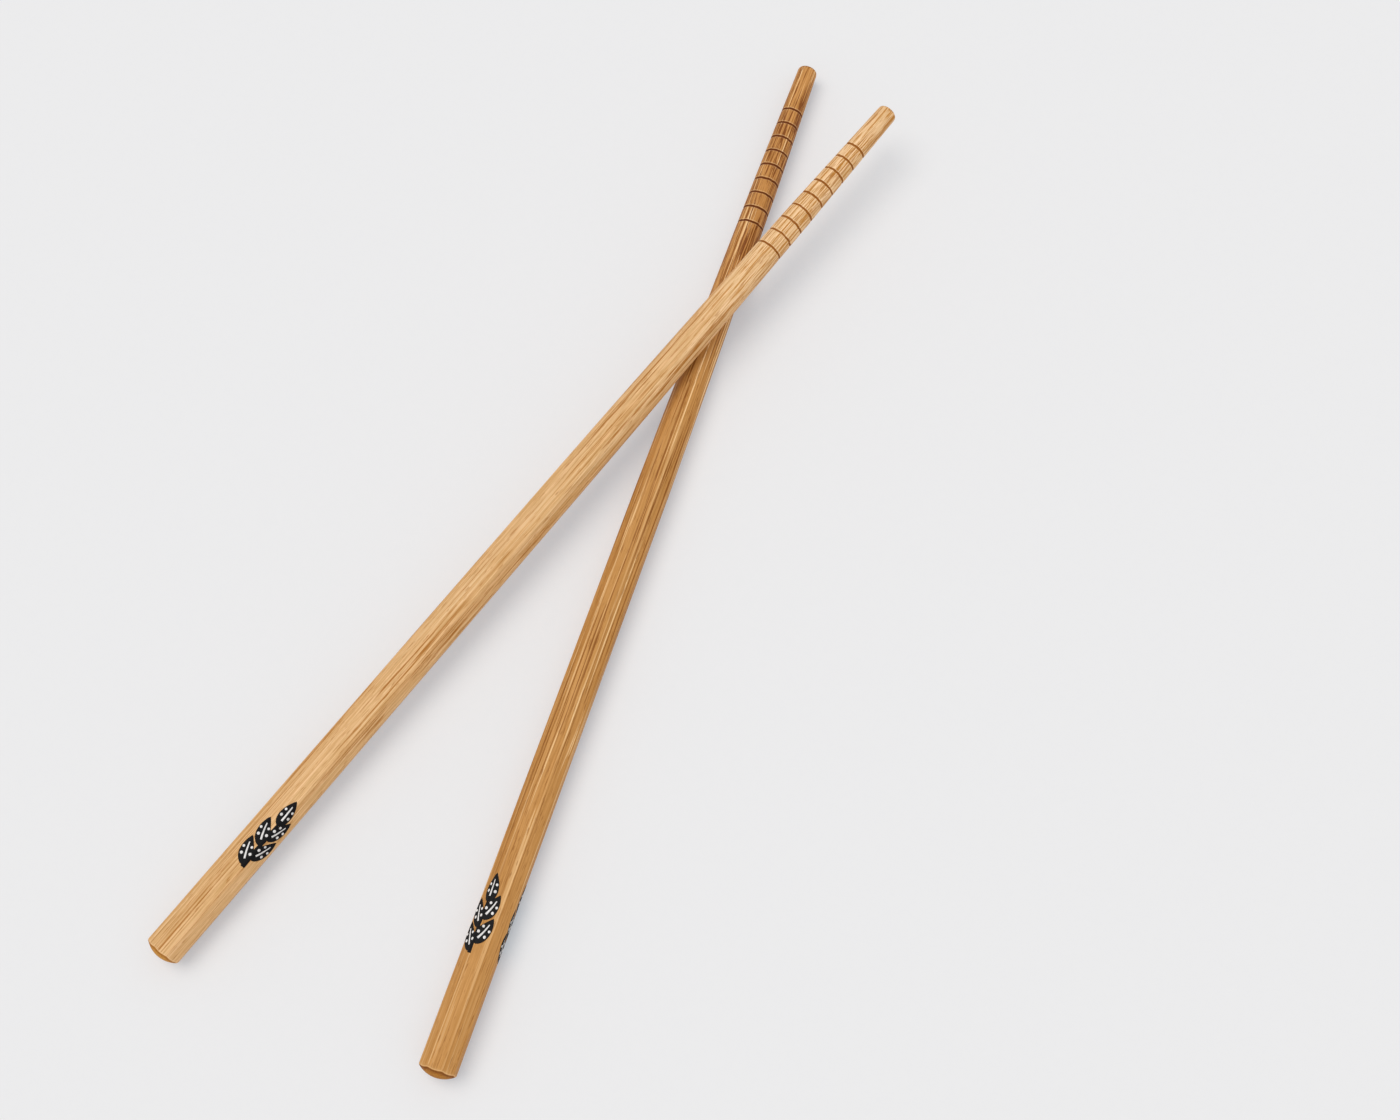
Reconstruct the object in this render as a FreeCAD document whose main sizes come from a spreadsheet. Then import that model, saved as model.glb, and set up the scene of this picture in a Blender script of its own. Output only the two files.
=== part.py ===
import FreeCAD, Part
import Sketcher
import math
import os

# A pair of bamboo chopsticks, one lying across the other, in millimetres.
#
# Each stick is one length of bamboo. Its handle has eight flats with softened edges and
# ends in a low dome. The working end is turned round and tapers in two stages to the tip,
# and fine rings are cut round it for grip. Both sticks are made to the same sizes.
#
# A stick is drawn upright in its own frame: its axis is +Z, the top of the butt's dome is
# the origin, and the flat that will face down has its normal along +X.
#
# The pair lies on the plane z = 0 with its longer side along +Y, and the origin is under
# the middle of its bounding box. The lower stick lies on one flat of its handle. The upper
# one stands on the rim of its butt, rolled a little to the right, and leans on the lower
# one where the two cross.

SIZES = [
    ("length", 240, "whole stick, along its axis"),
    ("flat_count", 8, "flats round the handle"),
    ("butt_across", 7.5, "handle across two opposite flats, at the butt"),
    ("shoulder_across", 7.2, "handle across two opposite flats, where turning starts"),
    ("edge_softening", 0.1, "how much the edges between flats are taken down"),
    ("dome_height", 1.5, "dome on the butt, from its rim to its top"),
    ("turned_length", 111.5, "round part of the stick, from the tip"),
    ("grip_length", 33, "steeper taper at the working end, from the tip"),
    ("grip_diameter", 5.87, "where the steeper taper starts"),
    ("tip_diameter", 4.5, "at the tip, before its edge is rounded"),
    ("tip_rounding", 0.8, "radius of the tip's edge"),
    ("ring_count", 9, "rings cut round the working end"),
    ("first_ring", 12.7, "first ring, from the tip"),
    ("ring_pitch", 3.89, "from one ring to the next"),
    ("ring_width", 0.5, "width of a ring at the surface"),
    ("ring_depth", 0.25, "depth of a ring below the surface"),
    ("upper_heading", 51, "way the upper stick points, in degrees from +X"),
    ("crossing_angle", 20.3, "turn from the upper stick to the lower one, in degrees"),
    ("upper_roll", 14, "roll of the upper stick about its axis, in degrees"),
    ("upper_crossing", 175.7, "crossing, from the butt of the upper stick"),
    ("lower_crossing", 168.7, "crossing, from the butt of the lower stick"),
    ("contact_gap", 0.03, "clearance left where the upper stick rests on the lower one"),
]

# How far past the stick the cut for a flat reaches, at its ends and outwards.
CUT_REACH = "Sizes.butt_across"

# Corrections of the upper stick's lean. Each takes the error down to about a hundredth.
LEAN_STEPS = 4

doc = FreeCAD.newDocument("Chopsticks")
sheet = doc.addObject("Spreadsheet::Sheet", "Sizes")
for row, (alias, number, meaning) in enumerate(SIZES, start=1):
    sheet.set(f"A{row}", alias)
    sheet.set(f"B{row}", str(number))
    sheet.set(f"C{row}", meaning)
    sheet.setAlias(f"B{row}", alias)
doc.recompute()


def edge_radius(across):
    """Expression for the radius over the softened edges of a handle of that size across."""
    return f"{across} / 2 / cos(180 deg / Sizes.flat_count) - Sizes.edge_softening"


def flat_distance(along):
    """Expression for the distance from the axis to a flat, at a place along the stick."""
    narrowing = "(Sizes.butt_across - Sizes.shoulder_across) / 2"
    handle = "(Sizes.length - Sizes.turned_length)"
    return f"Sizes.butt_across / 2 - {narrowing} / {handle} * ({along})"


def turned_radius(from_tip):
    """Expression for the radius of the turned end, at a distance from the tip."""
    tip = "Sizes.tip_diameter / 2"
    grip = "Sizes.grip_diameter / 2"
    shoulder = edge_radius("Sizes.shoulder_across")
    behind_grip = "(Sizes.turned_length - Sizes.grip_length)"
    on_grip = f"{tip} + ({grip} - {tip}) * ({from_tip}) / Sizes.grip_length"
    beyond = f"{grip} + ({shoulder} - {grip}) * ({from_tip} - Sizes.grip_length) / {behind_grip}"
    return f"({from_tip} <= Sizes.grip_length ? {on_grip} : {beyond})"


def value(expression):
    """Number that an expression of the sheet gives."""
    return float(sheet.evalExpression(expression))


def pin(sketch, point, across, along):
    """Hold a sketch point at expressions for its place across and along the stick.

    In a sketch -1 is the axis across, -2 the axis along, and (-1, 1) the origin.
    """
    for kind, axis, expression in (("DistanceX", -2, across), ("DistanceY", -1, along)):
        if expression == "0":
            sketch.addConstraint(Sketcher.Constraint("PointOnObject", *point, axis))
        else:
            held = Sketcher.Constraint(kind, -1, 1, *point, value(expression))
            index = sketch.addConstraint(held)
            sketch.setExpression(f"Constraints[{index}]", expression)


def dome_arc(rim):
    """Arc from the origin to the rim, with its centre on the stick's axis."""
    radius = (rim.x ** 2 + rim.y ** 2) / (2 * rim.y)
    circle = Part.Circle(FreeCAD.Vector(0, radius, 0), FreeCAD.Vector(0, 0, 1), radius)
    return Part.ArcOfCircle(circle, -math.pi / 2, math.atan2(rim.y - radius, rim.x))


def draw_outline(sketch, corners, domed=False):
    """Draw a closed outline through (across, along) corners; its first side may be a dome."""
    points = [FreeCAD.Vector(value(across), value(along), 0) for across, along in corners]
    first = sketch.GeometryCount
    count = len(points)
    for index, start in enumerate(points):
        end = points[(index + 1) % count]
        curved = domed and index == 0
        sketch.addGeometry(dome_arc(end) if curved else Part.LineSegment(start, end))
    for index, corner in enumerate(corners):
        before = first + (index - 1) % count
        sketch.addConstraint(Sketcher.Constraint("Coincident", before, 2, first + index, 1))
        pin(sketch, (first + index, 1), *corner)
    if domed:
        dome_centre = (first, 3)
        sketch.addConstraint(Sketcher.Constraint("PointOnObject", *dome_centre, -2))


def lengthwise_sketch(body, name):
    """New sketch in the body's XZ plane: across is the sketch's x, along is its y."""
    sketch = body.newObject("Sketcher::SketchObject", name)
    plane = next(item for item in body.Origin.OriginFeatures if item.Role == "XZ_Plane")
    sketch.AttachmentSupport = [(plane, "")]
    sketch.MapMode = "FlatFace"
    return sketch


def stick_profile():
    """Half section of the stick as turned: dome, handle, two tapers and the flat tip."""
    return [
        ("0", "0"),
        (edge_radius("Sizes.butt_across"), "Sizes.dome_height"),
        (edge_radius("Sizes.shoulder_across"), "Sizes.length - Sizes.turned_length"),
        ("Sizes.grip_diameter / 2", "Sizes.length - Sizes.grip_length"),
        ("Sizes.tip_diameter / 2", "Sizes.length"),
        ("0", "Sizes.length"),
    ]


def flat_cut_section():
    """Stock that lies outside one flat, from below the butt to past the tip."""
    below = f"-({CUT_REACH})"
    above = f"Sizes.length + {CUT_REACH}"
    return [
        (flat_distance(below), below),
        (f"Sizes.butt_across + {CUT_REACH}", below),
        (f"Sizes.butt_across + {CUT_REACH}", above),
        (flat_distance(above), above),
    ]


def ring_section(number):
    """V of one ring, carried on past the surface as far again as the ring is deep."""
    from_tip = f"Sizes.first_ring + {number} * Sizes.ring_pitch"
    along = f"Sizes.length - ({from_tip})"
    surface = turned_radius(from_tip)
    return [
        (f"{surface} - Sizes.ring_depth", along),
        (f"{surface} + Sizes.ring_depth", f"{along} + Sizes.ring_width"),
        (f"{surface} + Sizes.ring_depth", f"{along} - Sizes.ring_width"),
    ]


def turn_stick(body, name):
    """Turned stick with a domed butt and a rounded tip."""
    profile = lengthwise_sketch(body, f"{name}_profile")
    draw_outline(profile, stick_profile(), domed=True)
    turned = body.newObject("PartDesign::Revolution", f"{name}_turned")
    turned.Profile = profile
    turned.ReferenceAxis = (profile, ["V_Axis"])
    turned.Angle = 360
    doc.recompute()
    tip_edges = [
        f"Edge{index}"
        for index, edge in enumerate(turned.Shape.Edges, start=1)
        if not edge.Degenerated and math.isclose(edge.BoundBox.Center.z, value("Sizes.length"))
    ]
    rounded = body.newObject("PartDesign::Fillet", f"{name}_tip_edge")
    rounded.Base = (turned, tip_edges)
    rounded.setExpression("Radius", "Sizes.tip_rounding")
    doc.recompute()
    return turned, rounded


def cut_flats(body, name):
    """Flats of the handle; they run out where the turned end is smaller than they are."""
    section = lengthwise_sketch(body, f"{name}_flat_section")
    draw_outline(section, flat_cut_section())
    first_flat = body.newObject("PartDesign::Pocket", f"{name}_first_flat")
    first_flat.Profile = section
    first_flat.Midplane = True
    first_flat.setExpression("Length", "2 * Sizes.butt_across")
    doc.recompute()
    flats = body.newObject("PartDesign::PolarPattern", f"{name}_flats")
    flats.Originals = [first_flat]
    flats.Axis = (section, ["V_Axis"])
    flats.Angle = 360
    flats.setExpression("Occurrences", "Sizes.flat_count")
    body.Tip = flats
    doc.recompute()
    return first_flat, flats


def cut_rings(body, name):
    """V-shaped rings round the working end, each as deep as the others."""
    sections = lengthwise_sketch(body, f"{name}_ring_sections")
    for number in range(int(value("Sizes.ring_count"))):
        draw_outline(sections, ring_section(number))
    rings = body.newObject("PartDesign::Groove", f"{name}_rings")
    rings.Profile = sections
    rings.ReferenceAxis = (sections, ["V_Axis"])
    rings.Angle = 360
    doc.recompute()
    return rings


def make_stick(name):
    """One chopstick, upright in its own frame."""
    body = doc.addObject("PartDesign::Body", name)
    body.Label = name
    turned, rounded = turn_stick(body, name)
    first_flat, flats = cut_flats(body, name)
    rings = cut_rings(body, name)
    stages = [turned, rounded, first_flat, flats, rings]
    for before, after in zip(stages, stages[1:]):
        if len(after.Shape.Faces) <= len(before.Shape.Faces):
            raise RuntimeError(f"{after.Name} cuts no new face into {before.Name}")
    return body


def lie_along(heading, slope):
    """Rotation that lays a stick along a heading with its first flat down, tip up by slope."""
    level = FreeCAD.Vector(math.cos(heading), math.sin(heading), 0)
    up = FreeCAD.Vector(0, 0, 1)
    axis = level * math.cos(slope) + up * math.sin(slope)
    down = level * math.sin(slope) - up * math.cos(slope)
    return FreeCAD.Rotation(down, axis.cross(down), axis, "ZXY")


def place_stick(stick, heading, slope, crossing, lift):
    """Lay a stick so that its axis passes over the crossing point, the butt's top at lift."""
    reach = crossing * math.cos(slope)
    base = FreeCAD.Vector(-reach * math.cos(heading), -reach * math.sin(heading), lift)
    stick.Placement = FreeCAD.Placement(base, lie_along(heading, slope))
    doc.recompute()


def roll_stick(stick, roll):
    """Roll a stick about its own axis, to the right for someone who looks towards the tip."""
    own_axis = FreeCAD.Rotation(FreeCAD.Vector(0, 0, 1), roll)
    stick.Placement.Rotation = stick.Placement.Rotation * own_axis
    doc.recompute()


def bounds(shapes):
    """Exact bounding box of some shapes."""
    return Part.makeCompound(shapes).optimalBoundingBox(False, False)


def move(stick, across, along, up):
    """Move a stick without turning it."""
    stick.Placement.Base = stick.Placement.Base + FreeCAD.Vector(across, along, up)
    doc.recompute()


def lay_lower_stick(lower):
    """Lay the lower stick on its first flat, which the handle's taper tips by a hair."""
    butt_flat = value(flat_distance("0"))
    taper = math.atan(butt_flat - value(flat_distance("1")))
    heading = math.radians(value("Sizes.upper_heading + Sizes.crossing_angle"))
    place_stick(lower, heading, -taper, value("Sizes.lower_crossing"), butt_flat * math.cos(taper))


def lean_upper_stick(upper, lower):
    """Stand the upper stick on its butt and let it down on to the lower one, from above it."""
    heading = math.radians(value("Sizes.upper_heading"))
    crossing = value("Sizes.upper_crossing")
    slope = math.atan(2 * value("Sizes.butt_across") / crossing)
    for step in range(LEAN_STEPS + 1):
        place_stick(upper, heading, slope, crossing, 0)
        roll_stick(upper, value("Sizes.upper_roll"))
        move(upper, 0, 0, -bounds([upper.Shape]).ZMin)
        if step < LEAN_STEPS:
            gap = upper.Shape.distToShape(lower.Shape)[0]
            slope -= (gap - value("Sizes.contact_gap")) / crossing


def centre_pair(sticks):
    """Move the pair so that the origin is under the middle of its bounding box."""
    middle = bounds([stick.Shape for stick in sticks]).Center
    for stick in sticks:
        move(stick, -middle.x, -middle.y, 0)


def check_document(sticks):
    """Stop if any object of the document failed, or a stick is not one sound solid."""
    for item in doc.Objects:
        if "Invalid" in item.State or "Error" in item.State:
            raise RuntimeError(f"{item.Name} failed: {item.State}")
    for stick in sticks:
        shape = stick.Shape
        if shape.isNull() or not shape.isValid() or len(shape.Solids) != 1:
            raise RuntimeError(f"{stick.Label} is not one valid solid")


lower_stick = make_stick("lower_chopstick")
upper_stick = make_stick("upper_chopstick")
lay_lower_stick(lower_stick)
lean_upper_stick(upper_stick, lower_stick)
both = [lower_stick, upper_stick]
centre_pair(both)
check_document(both)

os.makedirs("parts", exist_ok=True)
for stick in both:
    stick.Shape.exportStep(f"parts/{stick.Label}.step")
    print(f"{stick.Label}: {stick.Shape.Volume:.1f} mm3")
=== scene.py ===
"""Looks of a pair of bamboo chopsticks, one lying across the other.

Each stick is built upright in its own frame, as the solid is: its axis is +Z, the top of
the butt's dome is the origin, and the flat that faces down has its normal along +X.
Lengths are in millimetres until a mesh is made.
"""

import math

import bpy
import numpy as np
from mathutils import Matrix, Vector


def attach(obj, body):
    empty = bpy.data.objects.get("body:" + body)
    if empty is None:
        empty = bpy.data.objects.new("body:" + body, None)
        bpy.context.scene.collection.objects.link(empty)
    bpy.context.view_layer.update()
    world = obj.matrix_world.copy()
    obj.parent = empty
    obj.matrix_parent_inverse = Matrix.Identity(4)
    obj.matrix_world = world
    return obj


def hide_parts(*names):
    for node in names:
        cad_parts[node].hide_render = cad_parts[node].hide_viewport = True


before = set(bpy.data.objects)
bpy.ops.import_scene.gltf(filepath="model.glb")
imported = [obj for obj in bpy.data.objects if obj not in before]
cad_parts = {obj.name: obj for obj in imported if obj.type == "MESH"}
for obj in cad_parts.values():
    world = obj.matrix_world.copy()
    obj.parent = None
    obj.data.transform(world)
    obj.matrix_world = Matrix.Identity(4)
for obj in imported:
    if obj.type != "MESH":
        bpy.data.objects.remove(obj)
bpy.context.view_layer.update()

MM = 0.001

# Sizes of a stick, the same as the solid's.
LENGTH = 240.0
FLATS = 8
HALF_FLAT = math.pi / FLATS
BUTT_FLAT, SHOULDER_FLAT = 3.75, 3.6
EDGE_SOFTENING = 0.1
BUTT_EDGE = BUTT_FLAT / math.cos(HALF_FLAT) - EDGE_SOFTENING
SHOULDER_EDGE = SHOULDER_FLAT / math.cos(HALF_FLAT) - EDGE_SOFTENING
DOME_HEIGHT = 1.5
SHOULDER_AT, GRIP_AT = LENGTH - 111.5, LENGTH - 33.0
GRIP_RADIUS, TIP_RADIUS, TIP_ROUNDING = 2.935, 2.25, 0.8
RING_COUNT, FIRST_RING, RING_PITCH = 9, 12.7, 3.89
RING_WIDTH, RING_DEPTH = 0.5, 0.25

# Where each stick lies: top of the butt's dome, then heading from +X, slope and roll, in
# degrees.
LAY = {
    "upper": ((-75.12859, -90.42258, 3.88771), 51.0, 2.09604, 14.0),
    "lower": ((-18.71835, -113.76365, 3.75), 71.3, -0.06688, 0.0),
}

# How softly the worn surface passes from one face to the next, and from the butt's dome, whose
# rim is at RIM_AT, to the side. WEAR_DEPTH scales the sanding marks.
EDGE_WEAR, RIM_WEAR, WEAR_DEPTH = 0.03, 0.2, 0.004
RIM_AT = 1.45

# How far the tip's end face stays below the solid's, and its rounded corner inside it.
END_INSET, CORNER_INSET = 0.01, 0.03

# How deep a print is rooted in the wood, and how far its ink and its white stand proud of it.
PRINT_ROOT, BLACK_PROUD, WHITE_PROUD = 0.05, 0.02, 0.035


def turned_radius(along):
    """Radius of the stick as turned, before the flats are cut."""
    stations = [DOME_HEIGHT, SHOULDER_AT, GRIP_AT, LENGTH]
    return np.interp(along, stations, [BUTT_EDGE, SHOULDER_EDGE, GRIP_RADIUS, TIP_RADIUS])


def flat_reach(along, angle):
    """Distance from the axis to the nearest flat, along a direction."""
    distance = BUTT_FLAT + (SHOULDER_FLAT - BUTT_FLAT) * along / SHOULDER_AT
    off_centre = (angle + HALF_FLAT) % (2 * HALF_FLAT) - HALF_FLAT
    return distance / np.cos(off_centre)


def side_radius(along, angle):
    """Radius of the stick's side with its flats, their edges worn soft."""
    turned, flat = turned_radius(along), flat_reach(along, angle)
    nearer = np.minimum(turned, flat)
    return nearer - EDGE_WEAR * np.log1p(np.exp(-np.abs(turned - flat) / EDGE_WEAR))


def edge_share(along, angle):
    """1 on the softened edges between flats, 0 on the flats and on the round end."""
    turned, flat = turned_radius(along), flat_reach(along, angle)
    on_handle = np.clip((146 - along) / 20, 0, 1)
    return np.clip((flat - turned - 0.02) / 0.06, 0, 1) * on_handle


def dome_along(radius):
    """Place along the stick of the dome at a radius."""
    sphere = (BUTT_EDGE ** 2 + DOME_HEIGHT ** 2) / (2 * DOME_HEIGHT)
    return sphere - np.sqrt(sphere ** 2 - radius ** 2)


def angles_round():
    """Directions of the mesh's lines, closer together at the edges between flats."""
    half = np.radians([4.5, 9.0, 13.0, 16.0, 17.6, 18.7, 19.8, 21.2])
    one = np.concatenate([-half[::-1], [0.0], half, [HALF_FLAT]])
    return np.concatenate([one + 2 * HALF_FLAT * k for k in range(FLATS)])


def ring_places():
    """Middles of the rings along the stick, from the tip's end on."""
    return [LENGTH - FIRST_RING - RING_PITCH * k for k in range(RING_COUNT)]


def side_stations():
    """Places along the side, closer together at the rim and the rings."""
    plain = [np.arange(2.2, 6, 0.6), np.arange(6, 124, 1.5), np.arange(124, 152, 0.6),
             np.arange(152, 188, 1.2)]
    tip_start = LENGTH - TIP_ROUNDING - 0.1
    near_tip = np.arange(188, tip_start, 0.6)
    half_ring = np.array([0.08, 0.15, 0.22, 0.28, 0.36, 0.5])
    across_ring = np.concatenate([-half_ring[::-1], [0], half_ring])
    rings = ring_places()
    clear = np.array([z for z in near_tip if min(abs(z - r) for r in rings) > 0.62])
    cut = np.concatenate([r + across_ring for r in rings])
    return np.sort(np.concatenate(plain + [clear, cut, [tip_start]]))


def wander(angle, seed, size, turns=(1, 2, 3, 5)):
    """A closed wobble round the stick."""
    draw = np.random.default_rng(seed)
    total = np.zeros_like(angle)
    for turn in turns:
        total = total + draw.normal() / turn * np.sin(turn * angle + draw.uniform(0, 2 * math.pi))
    return total * size


def ring_cut(along, angle, seed):
    """Depth of the rings' grooves at each place, and how strongly the cut shows there."""
    depth = np.zeros(np.broadcast(along, angle).shape)
    mark = np.zeros_like(depth)
    for k, place in enumerate(ring_places()):
        drift = wander(angle, seed + k, 0.035)
        jags = wander(angle, seed + 120 + k, 0.25, (8, 11, 13))
        middle = place + drift + jags
        width = RING_WIDTH / 2 * (1 + wander(angle, seed + 40 + k, 0.12))
        low = RING_DEPTH * (1 + wander(angle, seed + 80 + k, 0.10))
        across = np.abs(along - middle) / width
        depth = np.maximum(depth, low * np.clip(1.12 - across, 0, 1) ** 1.1)
        mark = np.maximum(mark, np.clip(1.5 - across, 0, 1))
    return depth, mark


def ring_painted_highlight(station):
    """How bright the painted highlight beside a ring is, most of all on the side of the tip."""
    offset = min((station - place for place in ring_places()), key=abs)
    return float(np.interp(offset, [-0.5, -0.36, -0.28, 0.28, 0.36, 0.5], [0, 0.4, 0, 0, 1, 0]))


def hand_wear(along, angle, seed):
    """Shallow unevenness left by sanding, always inwards."""
    draw = np.random.default_rng(seed)
    total = np.zeros(np.broadcast(along, angle).shape)
    for _ in range(10):
        length = draw.uniform(12, 60)
        turn = draw.integers(1, 9)
        phase = draw.uniform(0, 2 * math.pi, 2)
        wave = np.sin(2 * math.pi * along / length + phase[0])
        total = total + wave * np.sin(turn * angle + phase[1])
    return WEAR_DEPTH * (total / 3 + 2).clip(0, 4)


def stick_rows(seed):
    """Rows of (radius, along) round the stick from the dome to the tip, with their attributes."""
    angle = angles_round()
    rows = []

    def add(radius, along, **marks):
        radius, along = (np.broadcast_to(values, angle.shape) for values in (radius, along))
        rows.append((radius, along, marks))

    rim_radius = side_radius(np.full_like(angle, RIM_AT), angle)
    rim_along = dome_along(rim_radius)
    dome_shares = (0.06, 0.16, 0.28, 0.4, 0.52, 0.64, 0.75, 0.84, 0.9)
    for share in dome_shares:
        radius = (rim_radius - RIM_WEAR) * share / dome_shares[-1]
        # Painted shade: the outer dome rows darken towards the rim, standing in for the bevel's
        # shading.
        shaded = float(np.clip((share - 0.72) / 0.15, 0, 1))
        add(radius, dome_along(radius), end=1.0, under_rim=shaded)
    start_radius, start_along = rim_radius - RIM_WEAR, dome_along(rim_radius - RIM_WEAR)
    stop_along = rim_along + RIM_WEAR
    stop_radius = side_radius(stop_along, angle)
    for t in (0.15, 0.3, 0.45, 0.6, 0.75, 0.88, 1.0):
        weights = ((1 - t) ** 2, 2 * t * (1 - t), t ** 2)
        radius = weights[0] * start_radius + weights[1] * rim_radius + weights[2] * stop_radius
        along = weights[0] * start_along + weights[1] * rim_along + weights[2] * stop_along
        # Painted shade on the rim's inner side (shaded) and a painted highlight on its crest
        # (lit).
        shaded = float(np.clip(1 - t / 0.4, 0, 1))
        lit = float(np.clip(1 - abs(t - 0.7) / 0.35, 0, 1))
        add(radius, along, end=float(np.clip(1.2 - 2 * t, 0, 1)), rim=lit, under_rim=shaded)
    for station in side_stations():
        shift = (rim_along - DOME_HEIGHT) * np.clip(1 - (station - DOME_HEIGHT) / 3, 0, 1)
        along = station + shift
        cut, mark = ring_cut(along, angle, seed)
        radius = side_radius(along, angle) - cut
        if station > 3:
            radius = radius - hand_wear(along, angle, seed + 200)
        add(radius, along, ring=mark, edge=edge_share(along, angle), rim=ring_painted_highlight(station))
    corner_along = LENGTH - TIP_ROUNDING
    taper = (GRIP_RADIUS - TIP_RADIUS) / (LENGTH - GRIP_AT)
    corner_radius = TIP_RADIUS + taper * TIP_ROUNDING - TIP_ROUNDING * math.hypot(1, taper)
    uneven = wander(angle, seed + 300, 0.02) * 0.5
    # The same mark that paints shade beside the butt's rim darkens the tip's rounded corner
    # towards its end face.
    for turn in np.radians([2, 12, 24, 36, 48, 60, 72, 82, 89]):
        rise = math.sin(turn)
        radius = corner_radius + TIP_ROUNDING * math.cos(turn) - CORNER_INSET + uneven
        along = corner_along + TIP_ROUNDING * rise - END_INSET
        add(radius, along, under_rim=rise * 0.5, end=rise ** 6)
    for share in (0.85, 0.68, 0.5, 0.32, 0.15):
        add(corner_radius * share, LENGTH - END_INSET + 0.004 * share, end=1.0)
    return angle, rows


def build_mesh(name, points, faces, marks=None, laid=None):
    """Mesh object from points in millimetres, laid by a matrix, with its marks by point.

    The attribute "upright" keeps each point's place in the stick's own frame, which the
    wood's grain follows.
    """
    points = np.asarray(points, float)
    mesh = bpy.data.meshes.new(name)
    mesh.from_pydata([tuple(p) for p in points * MM], [], faces)
    upright = mesh.attributes.new("upright", "FLOAT_VECTOR", "POINT")
    upright.data.foreach_set("vector", points.astype(np.float32).ravel())
    for key, values in (marks or {}).items():
        attribute = mesh.attributes.new(key, "FLOAT", "POINT")
        attribute.data.foreach_set("value", np.asarray(values, np.float32))
    if laid is not None:
        mesh.transform(laid)
    mesh.validate()
    mesh.shade_smooth()
    made = bpy.data.objects.new(name, mesh)
    bpy.context.scene.collection.objects.link(made)
    return made


def lie(which):
    """Matrix that lays an upright stick where the solid lies, as in the part's source."""
    apex, heading, slope, roll = LAY[which]
    heading, slope = math.radians(heading), math.radians(slope)
    level = Vector((math.cos(heading), math.sin(heading), 0))
    up = Vector((0, 0, 1))
    axis = level * math.cos(slope) + up * math.sin(slope)
    down = level * math.sin(slope) - up * math.cos(slope)
    turn = Matrix((down, axis.cross(down), axis)).transposed().to_4x4()
    own_axis = Matrix.Rotation(math.radians(roll), 4, "Z")
    return Matrix.Translation(Vector(apex) * MM) @ turn @ own_axis


def make_stick(which, seed, material):
    """The wood of one stick: rows round it, closed by a point at each end."""
    angle, rows = stick_rows(seed)
    around = len(angle)
    first = np.array([[0, 0, 0.0]])
    rings = [np.stack([r * np.cos(angle), r * np.sin(angle), z], 1) for r, z, _ in rows]
    last = np.array([[0, 0, LENGTH - END_INSET]])
    points = np.concatenate([first, *rings, last])
    marks = {}
    for key in ("ring", "edge", "rim", "under_rim", "end"):
        values = [np.broadcast_to(m.get(key, 0.0), angle.shape) for _, _, m in rows]
        at_ends = [1.0 if key == "end" else 0.0]
        marks[key] = np.concatenate([at_ends, *values, at_ends])
    faces = []
    nxt = [(i + 1) % around for i in range(around)]
    for i in range(around):
        faces.append((0, 1 + nxt[i], 1 + i))
    for row in range(len(rows) - 1):
        low, high = 1 + row * around, 1 + (row + 1) * around
        for i in range(around):
            faces.append((low + i, low + nxt[i], high + nxt[i], high + i))
    low, end = 1 + (len(rows) - 1) * around, len(points) - 1
    for i in range(around):
        faces.append((low + i, low + nxt[i], end))
    made = build_mesh(f"{which}_chopstick_wood", points, faces, marks, lie(which))
    made.data.materials.append(material)
    return made


class Shader:
    """Short hand for building the nodes of a material or a world."""

    def __init__(self, owner):
        owner.use_nodes = True
        self.owner, self.tree = owner, owner.node_tree
        self.tree.nodes.clear()

    def node(self, kind, inputs=None, **settings):
        made = self.tree.nodes.new("ShaderNode" + kind)
        for key, item in settings.items():
            setattr(made, key, item)
        for key, item in (inputs or {}).items():
            if isinstance(item, bpy.types.NodeSocket):
                self.tree.links.new(item, made.inputs[key])
            else:
                made.inputs[key].default_value = item
        return made

    def math(self, operation, a, b=0.0, clamp=False):
        return self.node("Math", {0: a, 1: b}, operation=operation, use_clamp=clamp).outputs[0]

    def vector(self, operation, a, b=(0, 0, 0), c=None):
        inputs = {0: a, 1: b}
        if c is not None:
            inputs[2] = c
        return self.node("VectorMath", inputs, operation=operation).outputs[0]

    def noise(self, place, stretch, shift, detail=2.0, roughness=0.5):
        """Noise from 0 to 1, its grain set by cycles per millimetre across, across and along."""
        at = self.vector("MULTIPLY_ADD", place, stretch, (shift, -shift * 0.7, shift * 1.3))
        inputs = {"Vector": at, "Scale": 1.0, "Detail": detail, "Roughness": roughness}
        return self.node("TexNoise", inputs).outputs["Fac"]

    def step(self, value, low, high, bottom=0.0, top=1.0):
        """Smooth step from bottom to top as the value goes from low to high."""
        inputs = {"Value": value, "From Min": low, "From Max": high,
                  "To Min": bottom, "To Max": top}
        return self.node("MapRange", inputs, interpolation_type="SMOOTHSTEP").outputs[0]

    def mix(self, share, a, b, blend="MIX"):
        inputs = {0: share, 6: a, 7: b}
        return self.node("Mix", inputs, data_type="RGBA", blend_type=blend).outputs[2]

    def backdrop_rays(self):
        """1 for the rays that show the background, 0 for those that light the object."""
        rays = self.node("LightPath").outputs
        mirrored = self.math("ADD", rays["Is Glossy Ray"], rays["Is Transmission Ray"])
        return self.math("ADD", rays["Is Camera Ray"], mirrored, clamp=True)

    def attribute(self, name, output="Fac"):
        made = self.node("Attribute", attribute_name=name, attribute_type="GEOMETRY")
        return made.outputs[output]


def srgb(red, green, blue):
    """Linear colour of 0-255 display values."""
    def linear(v):
        v /= 255
        return v / 12.92 if v <= 0.04045 else ((v + 0.055) / 1.055) ** 2.4
    return (linear(red), linear(green), linear(blue), 1.0)
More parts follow.
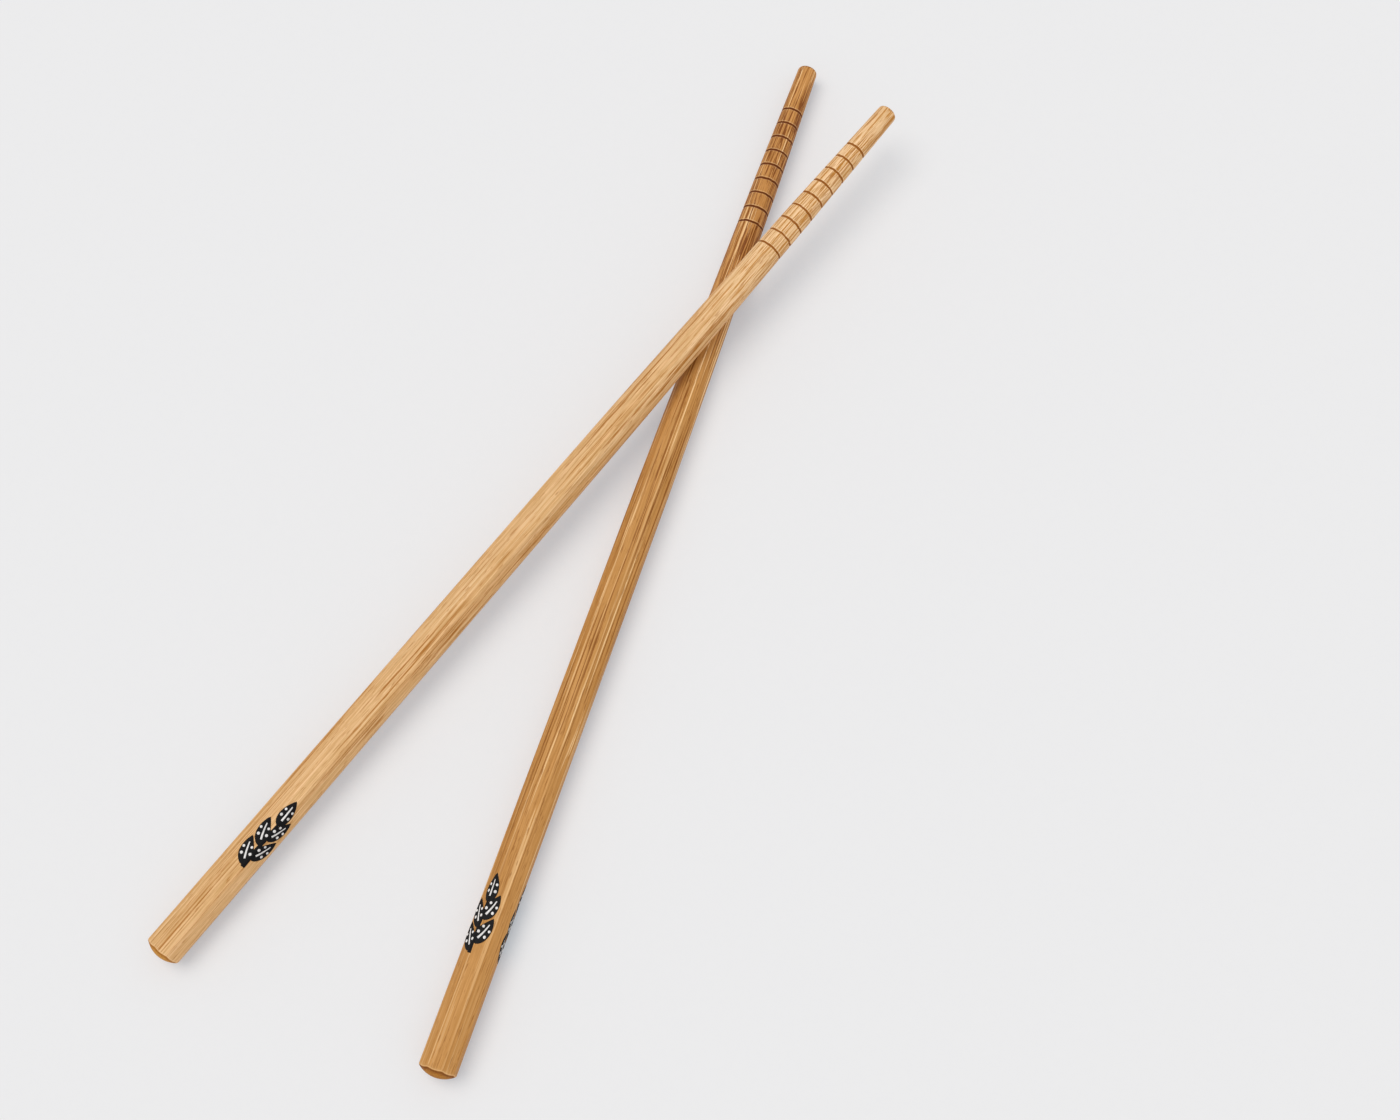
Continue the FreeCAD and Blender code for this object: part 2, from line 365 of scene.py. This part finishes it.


# Each wood's colours, its pale one also painted as highlight on the rims and edges and its groove
# one also painted as shade beside the rims, then how strong its grain is, how much of its lines
# shows at the butt, how strong its dark lines, pale lines with the painted edge highlights, and
# tip streaks are, and how its fibres slant.
LIGHT_WOOD = dict(
    seed=3.0,
    base=srgb(218, 175, 124), soft=srgb(210, 163, 108), pale=srgb(236, 200, 154),
    line=srgb(158, 96, 16), tip=srgb(234, 195, 149), streak=srgb(180, 118, 38),
    groove_and_rim_shade=srgb(150, 88, 14), end=srgb(186, 124, 40), end_dot=srgb(204, 148, 64),
    grain=0.15, calm=1.0, line_share=0.9, pale_share=0.45, streak_share=0.9,
    skew=(0.004, 0.006, 0),
)
DARK_WOOD = dict(
    seed=31.0,
    base=srgb(191, 138, 76), soft=srgb(184, 129, 65), pale=srgb(236, 196, 142),
    line=srgb(128, 72, 10), tip=srgb(197, 140, 78), streak=srgb(120, 62, 10),
    groove_and_rim_shade=srgb(104, 48, 4), end=srgb(162, 100, 24), end_dot=srgb(180, 122, 44),
    grain=0.10, calm=0.3, line_share=0.95, pale_share=0.9, streak_share=0.95,
    skew=(0.001, 0.001, 0),
)


def bamboo(name, wood):
    """Oiled bamboo: fibres along the stick as a solid texture, so that cut ends show them too."""
    s = Shader(bpy.data.materials.new(name))
    seed = wood["seed"]
    place = s.attribute("upright", "Vector")
    along = s.node("SeparateXYZ", {0: place}).outputs["Z"]
    everywhere = s.node("CombineXYZ", {"X": along, "Y": along, "Z": along}).outputs[0]
    skewed = s.vector("MULTIPLY_ADD", everywhere, wood["skew"], place)
    slow = s.vector("MULTIPLY", place, (0.08, 0.08, 0.022))
    drift = s.node("TexNoise", {"Vector": slow, "Scale": 1.0, "Detail": 1.0})
    fibre = s.vector("MULTIPLY_ADD", drift.outputs["Color"], (0.9, 0.9, 0.0), skewed)
    toward_tip = s.step(along, 150.0, 195.0)
    marked = s.step(along, 25.0, 85.0, wood["calm"], 1.0)

    bands = s.noise(fibre, (0.42, 0.42, 0.008), seed + 1, 2.0)
    tone = s.mix(s.step(bands, 0.36, 0.62), wood["base"], wood["soft"])
    tone = s.mix(s.math("MULTIPLY", toward_tip, 0.8), tone, wood["tip"])

    fine = s.noise(fibre, (4.2, 4.2, 0.15), seed + 2, 3.0, 0.65)
    medium = s.noise(fibre, (2.2, 2.2, 0.022), seed + 5, 2.0, 0.6)
    strands = s.noise(fibre, (2.7, 2.7, 0.013), seed + 8, 1.0, 0.5)
    comes_and_goes = s.noise(fibre, (0.6, 0.6, 0.028), seed + 11, 1.0)

    grain = wood["grain"]
    shade = s.step(fine, 0.34, 0.66, 1 - grain, 1 + 0.55 * grain)
    shade = s.math("MULTIPLY", shade, s.step(medium, 0.36, 0.64, 1 - grain * 0.6, 1.04))
    green, blue = (s.math("POWER", shade, power) for power in (1.25, 2.1))
    tint = s.node("CombineXYZ", {"X": shade, "Y": green, "Z": blue}).outputs[0]
    colour = s.mix(1.0, tone, tint, "MULTIPLY")

    lined = s.step(comes_and_goes, 0.62, 0.46, 0.15, wood["line_share"])
    line = s.math("MULTIPLY", s.step(strands, 0.56, 0.605), lined)
    line = s.math("MULTIPLY", line, s.step(fine, 0.66, 0.42, 0.45, 1.0))
    colour = s.mix(s.math("MULTIPLY", line, marked), colour, wood["line"])
    paled = s.step(comes_and_goes, 0.42, 0.56, 0.1, wood["pale_share"])
    pale = s.math("MULTIPLY", s.step(strands, 0.405, 0.365), paled)
    colour = s.mix(s.math("MULTIPLY", pale, marked), colour, wood["pale"])
    flecks = s.step(s.noise(fibre, (4.0, 4.0, 0.32), seed + 17, 1.0), 0.63, 0.70)
    colour = s.mix(s.math("MULTIPLY", flecks, 0.55), colour, wood["line"])

    dashes = s.noise(fibre, (3.4, 3.4, 0.09), seed + 14, 2.0, 0.6)
    dashes = s.step(dashes, 0.53, 0.57)
    dashes = s.math("MULTIPLY", dashes, s.math("MULTIPLY", toward_tip, wood["streak_share"]))
    colour = s.mix(dashes, colour, wood["streak"])

    # Pale edges between the flats: partly wear, partly a painted highlight along the edges.
    wear_and_edge_highlight = s.math("MULTIPLY", s.attribute("edge"), s.step(comes_and_goes, 0.35, 0.65, 0.1, 0.7))
    colour = s.mix(s.math("MULTIPLY", wear_and_edge_highlight, wood["pale_share"]), colour, wood["pale"])

    end = s.attribute("end")
    dots = s.noise(fibre, (2.6, 2.6, 0.3), seed + 20, 2.0)
    cut_end = s.mix(s.step(dots, 0.42, 0.6), wood["end"], wood["end_dot"])
    colour = s.mix(s.math("MULTIPLY", end, 0.9), colour, cut_end)

    ring = s.attribute("ring")
    broken = s.noise(place, (1.2, 1.2, 0.5), seed + 23, 2.0)
    ring_share = s.step(s.math("ADD", ring, broken), 0.75, 1.15, 0.0, 0.95)
    colour = s.mix(ring_share, colour, wood["groove_and_rim_shade"])

    # Painted shade beside the butt's rim, in the groove colour; the same mark darkens the tip's
    # rounded corner.
    colour = s.mix(s.math("MULTIPLY", s.attribute("under_rim"), 0.8), colour, wood["groove_and_rim_shade"])
    # Painted highlight on the rim's crest and beside the rings, in the pale colour.
    colour = s.mix(s.math("MULTIPLY", s.attribute("rim"), 0.6), colour, wood["pale"])

    gloss = s.step(medium, 0.3, 0.7, 0.58, 0.46)
    gloss = s.math("ADD", gloss, s.math("MULTIPLY", end, 0.2))
    height = s.math("ADD", s.math("MULTIPLY", fine, 0.6), s.math("MULTIPLY", medium, 0.5))
    height = s.math("SUBTRACT", height, s.math("MULTIPLY", dashes, 0.3))
    bump = s.node("Bump", {"Strength": 0.35, "Distance": 0.00006, "Height": height})
    inputs = {"Base Color": colour, "Roughness": gloss, "Normal": bump.outputs[0]}
    skin = s.node("BsdfPrincipled", inputs)
    skin.inputs["IOR"].default_value = 1.4
    skin.inputs["Specular IOR Level"].default_value = 0.25
    s.node("OutputMaterial", {"Surface": skin.outputs[0]})
    return s.owner


def paint(name, colour, roughness):
    """Printing ink, a little uneven where the fibres show through."""
    s = Shader(bpy.data.materials.new(name))
    place = s.attribute("upright", "Vector")
    thin = s.noise(place, (3.0, 3.0, 0.3), 5.0, 2.0, 0.6)
    darker = tuple(c * 0.8 for c in colour[:3]) + (1.0,)
    shown = s.mix(s.step(thin, 0.35, 0.65), darker, colour)
    bump = s.node("Bump", {"Strength": 0.25, "Distance": 0.00004, "Height": thin})
    skin = s.node("BsdfPrincipled", {"Base Color": shown, "Normal": bump.outputs[0]})
    skin.inputs["Roughness"].default_value = roughness
    skin.inputs["Specular IOR Level"].default_value = 0.12
    s.node("OutputMaterial", {"Surface": skin.outputs[0]})
    return s.owner


class Print:
    """Shapes printed on a stick, drawn flat as (along, across) and laid round the handle.

    Each shape is a thin closed skin that stands a hair proud of the wood and is rooted in it.
    """

    def __init__(self, start, turn, proud):
        self.start, self.turn, self.proud = start, math.radians(turn), proud
        self.points, self.faces = [], []

    def on_stick(self, flat, proud):
        along = self.start + flat[..., 0]
        angle = self.turn - flat[..., 1] / BUTT_EDGE
        radius = side_radius(along, angle) + proud
        return np.stack([radius * np.cos(angle), radius * np.sin(angle), along], -1)

    def skin(self, grid):
        """Closed skin over a grid of flat points, rows by columns."""
        rows, columns = grid.shape[:2]
        base = len(self.points)
        for proud in (self.proud, -PRINT_ROOT):
            self.points.extend(self.on_stick(grid, proud).reshape(-1, 3).tolist())
        under = rows * columns
        at = lambda r, c: base + r * columns + c
        for r in range(rows - 1):
            for c in range(columns - 1):
                quad = (at(r, c), at(r + 1, c), at(r + 1, c + 1), at(r, c + 1))
                self.faces.append(quad)
                self.faces.append(tuple(i + under for i in reversed(quad)))
        border = [(0, c) for c in range(columns)]
        border += [(r, columns - 1) for r in range(1, rows)]
        border += [(rows - 1, c) for c in range(columns - 2, -1, -1)]
        border += [(r, 0) for r in range(rows - 2, 0, -1)]
        for (r1, c1), (r2, c2) in zip(border, border[1:] + border[:1]):
            one, two = at(r1, c1), at(r2, c2)
            self.faces.append((one, two, two + under, one + under))

    def ribbon(self, line, widths, columns=5):
        """Band of varying width along a flat line."""
        line = np.asarray(line, float)
        run = np.gradient(line, axis=0)
        run /= np.linalg.norm(run, axis=1)[:, None]
        side = np.stack([-run[:, 1], run[:, 0]], 1)
        reach = np.asarray(widths)[:, None] * np.linspace(-0.5, 0.5, columns)[None]
        grid = line[:, None] + side[:, None] * reach[..., None]
        self.skin(grid)

    def dot(self, centre, across):
        """Round spot."""
        turn = np.linspace(0, math.pi, 11)
        line = [(centre[0] - across / 2 * math.cos(t), centre[1]) for t in turn]
        self.ribbon(line, np.maximum(across * np.sin(turn), 0.02))

    def make(self, name, laid, material):
        made = build_mesh(name, self.points, self.faces, laid=laid)
        made.data.materials.append(material)
        return made


def bent(start, heading, length, bend, count=19):
    """Flat line that leaves start at a heading in degrees and turns by bend over its length."""
    headings = np.radians(heading + bend * np.linspace(0, 1, count))
    steps = np.stack([np.cos(headings), np.sin(headings)], 1) * length / (count - 1)
    return np.asarray(start) + np.concatenate([[[0, 0]], np.cumsum(steps[1:], 0)])


def leaf_widths(width, count=19):
    """Widths along a leaf: widest before its middle, and down to a point."""
    share = np.linspace(0, 1, count)
    return np.maximum(width * np.sin(math.pi * share ** 0.75) ** 0.8, 0.05)


STEM_LENGTH, STEM_POINTS = 11.0, 33
LEAVES = [  # where on the stem, side, angle to it, length, width
    (0.3, 1, 36, 6.3, 3.0), (1.9, -1, 37, 6.2, 3.0), (5.3, 1, 33, 6.3, 2.9),
    (6.9, -1, 34, 6.0, 2.9), (10.4, 0, 0, 6.2, 3.0),
]
BERRIES = [(4.9, -1), (9.6, 1)]  # where on the stem, side


def sprig(which, start, turn, number):
    """Generic leafy sprig in black, with white midribs and dots."""
    black, white = Print(start, turn, BLACK_PROUD), Print(start, turn, WHITE_PROUD)
    stem = bent((0, -0.1), 1, STEM_LENGTH, -2, STEM_POINTS)

    def on_stem(at):
        return stem[int(round(at / STEM_LENGTH * (STEM_POINTS - 1)))]

    black.ribbon(stem, np.linspace(1.0, 0.6, STEM_POINTS), 7)
    for at, side, angle, length, width in LEAVES:
        line = bent(on_stem(at), side * angle, length, -side * 22 if side else 4)
        black.ribbon(line, leaf_widths(width), 15)
        white.ribbon(line[4:15], np.linspace(0.44, 0.24, 11), 3)
        run = line[12] - line[6]
        across = np.array([-run[1], run[0]]) / np.hypot(*run)
        for k, share, size in ((7, 0.30, 0.62), (11, 0.28, 0.55)):
            for way in (-1, 1):
                white.dot(line[k] + across * way * width * share, size)
    for at, side in BERRIES:
        black.dot(on_stem(at) + np.array([0.4, side * 2.2]), 1.0)
    laid = lie(which)
    for shape, material, slot in ((black, INK, "printed_ink"), (white, WHITE, "printed_white")):
        shown_as = slot.removeprefix("printed_")
        piece = shape.make(f"{which}_sprig_{number}_{shown_as}", laid, material)
        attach(piece, "root")


# Share of the ground's own colour that shows without shadow, and where the ground lies.
FLOOR_GLOW = 0.38
FLOOR_HALF, FLOOR_AT = 1500.0, -0.02

# Lamps and sky. Together they show a colour about as it is written.
KEY_STRENGTH, KEY_SOFTNESS, KEY_FROM = 1.37, 45, (-0.39, 0.18, 1.1)
FILL_STRENGTH, FILL_SOFTNESS, FILL_FROM = 0.75, 100, (0.9, -0.6, 0.5)
KEY_COLOUR = (1.04, 1.0, 0.95)
SKY_STRENGTH, SKY_COLOUR = 0.61, (0.975, 1.0, 1.035, 1)


def add_floor():
    """Plain pale ground that the lower stick lies on.

    It is a little warm where it is lit and glows a little cool, which together are neutral.
    So the shadows, which the wood's own light warms, come out grey.
    """
    s = Shader(bpy.data.materials.new("pale_ground"))
    grain = s.noise(s.attribute("upright", "Vector"), (0.6, 0.6, 0.6), 2.0, 3.0)
    colour = s.mix(grain, srgb(240, 234, 229), srgb(242, 236, 231))
    skin = s.node("BsdfPrincipled", {"Base Color": colour, "Roughness": 0.9})
    skin.inputs["Specular IOR Level"].default_value = 0.1
    glow = s.node("Emission", {"Color": srgb(224, 234, 244), "Strength": 1.0})
    shown = s.math("MULTIPLY", s.backdrop_rays(), FLOOR_GLOW)
    mixed = s.node("MixShader", {0: shown, 1: skin.outputs[0], 2: glow.outputs[0]})
    s.node("OutputMaterial", {"Surface": mixed.outputs[0]})
    ways = ((-1, -1), (1, -1), (1, 1), (-1, 1))
    corners = [(x * FLOOR_HALF, y * FLOOR_HALF, FLOOR_AT) for x, y in ways]
    floor = build_mesh("floor", corners, [(0, 1, 2, 3)])
    floor.data.materials.append(s.owner)


def add_sun(name, strength, softness, toward, colour=(1, 1, 1)):
    """Broad soft lamp, the same everywhere, from a direction."""
    sun = bpy.data.lights.new(name, "SUN")
    sun.energy, sun.color = strength, colour
    sun.angle = math.radians(softness)
    lamp = bpy.data.objects.new(name, sun)
    lamp.rotation_euler = Vector(toward).to_track_quat("Z", "Y").to_euler()
    bpy.context.scene.collection.objects.link(lamp)
    return lamp


def add_light(sticks):
    """Soft key from the upper left, an even sky, and a broad fill that only the sticks take."""
    add_sun("key", KEY_STRENGTH, KEY_SOFTNESS, KEY_FROM, KEY_COLOUR)
    fill = add_sun("fill", FILL_STRENGTH, FILL_SOFTNESS, FILL_FROM)
    filled = bpy.data.collections.new("filled")
    for stick in sticks:
        filled.objects.link(stick)
    fill.light_linking.receiver_collection = filled
    sky = Shader(bpy.data.worlds.new("sky"))
    light = sky.node("Background", {"Color": SKY_COLOUR, "Strength": SKY_STRENGTH})
    backdrop = sky.node("Background", {"Color": srgb(235, 235, 236), "Strength": 1.0})
    inputs = {0: sky.backdrop_rays(), 1: light.outputs[0], 2: backdrop.outputs[0]}
    mixed = sky.node("MixShader", inputs)
    sky.node("OutputWorld", {"Surface": mixed.outputs[0]})
    bpy.context.scene.world = sky.owner


# Camera: its place, its turn in degrees, and its focal length and frame width in pixels.
CAMERA_AT, CAMERA_TURN = (43.30, -133.85, 365.03), (19.2106, 1.6712, -0.022)
FOCAL_PIXELS, FRAME_PIXELS, SENSOR_WIDTH = 1800, 1400, 36.0


def add_camera():
    """The photograph's view, from above and leaning towards the tips."""
    data = bpy.data.cameras.new("camera")
    data.sensor_width = SENSOR_WIDTH
    data.lens = FOCAL_PIXELS * SENSOR_WIDTH / FRAME_PIXELS
    data.clip_start, data.clip_end = 0.01, 10
    camera = bpy.data.objects.new("camera", data)
    camera.location = Vector(CAMERA_AT) * MM
    camera.rotation_euler = [math.radians(a) for a in CAMERA_TURN]
    bpy.context.scene.collection.objects.link(camera)
    bpy.context.scene.camera = camera


bpy.context.scene.view_settings.view_transform = "Standard"
INK = paint("black_ink", srgb(15, 14, 16), 0.55)
WHITE = paint("white_ink", srgb(244, 241, 238), 0.5)
STICKS = [  # name, seed, wood, slot, and each print's place along and round the stick
    ("upper", 11, LIGHT_WOOD, "light_bamboo", [(23.8, 197), (23.8, 17)]),
    ("lower", 57, DARK_WOOD, "dark_bamboo", [(24.2, 152), (24.2, 288)]),
]
sticks = []
for which, seed, wood, slot, prints in STICKS:
    stick = make_stick(which, seed, bamboo(slot, wood))
    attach(stick, "root")
    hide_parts(f"{which}_chopstick")
    sticks.append(stick)
    for number, (start, turn) in enumerate(prints, start=1):
        sprig(which, start, turn, number)
add_floor()
add_light(sticks)
add_camera()
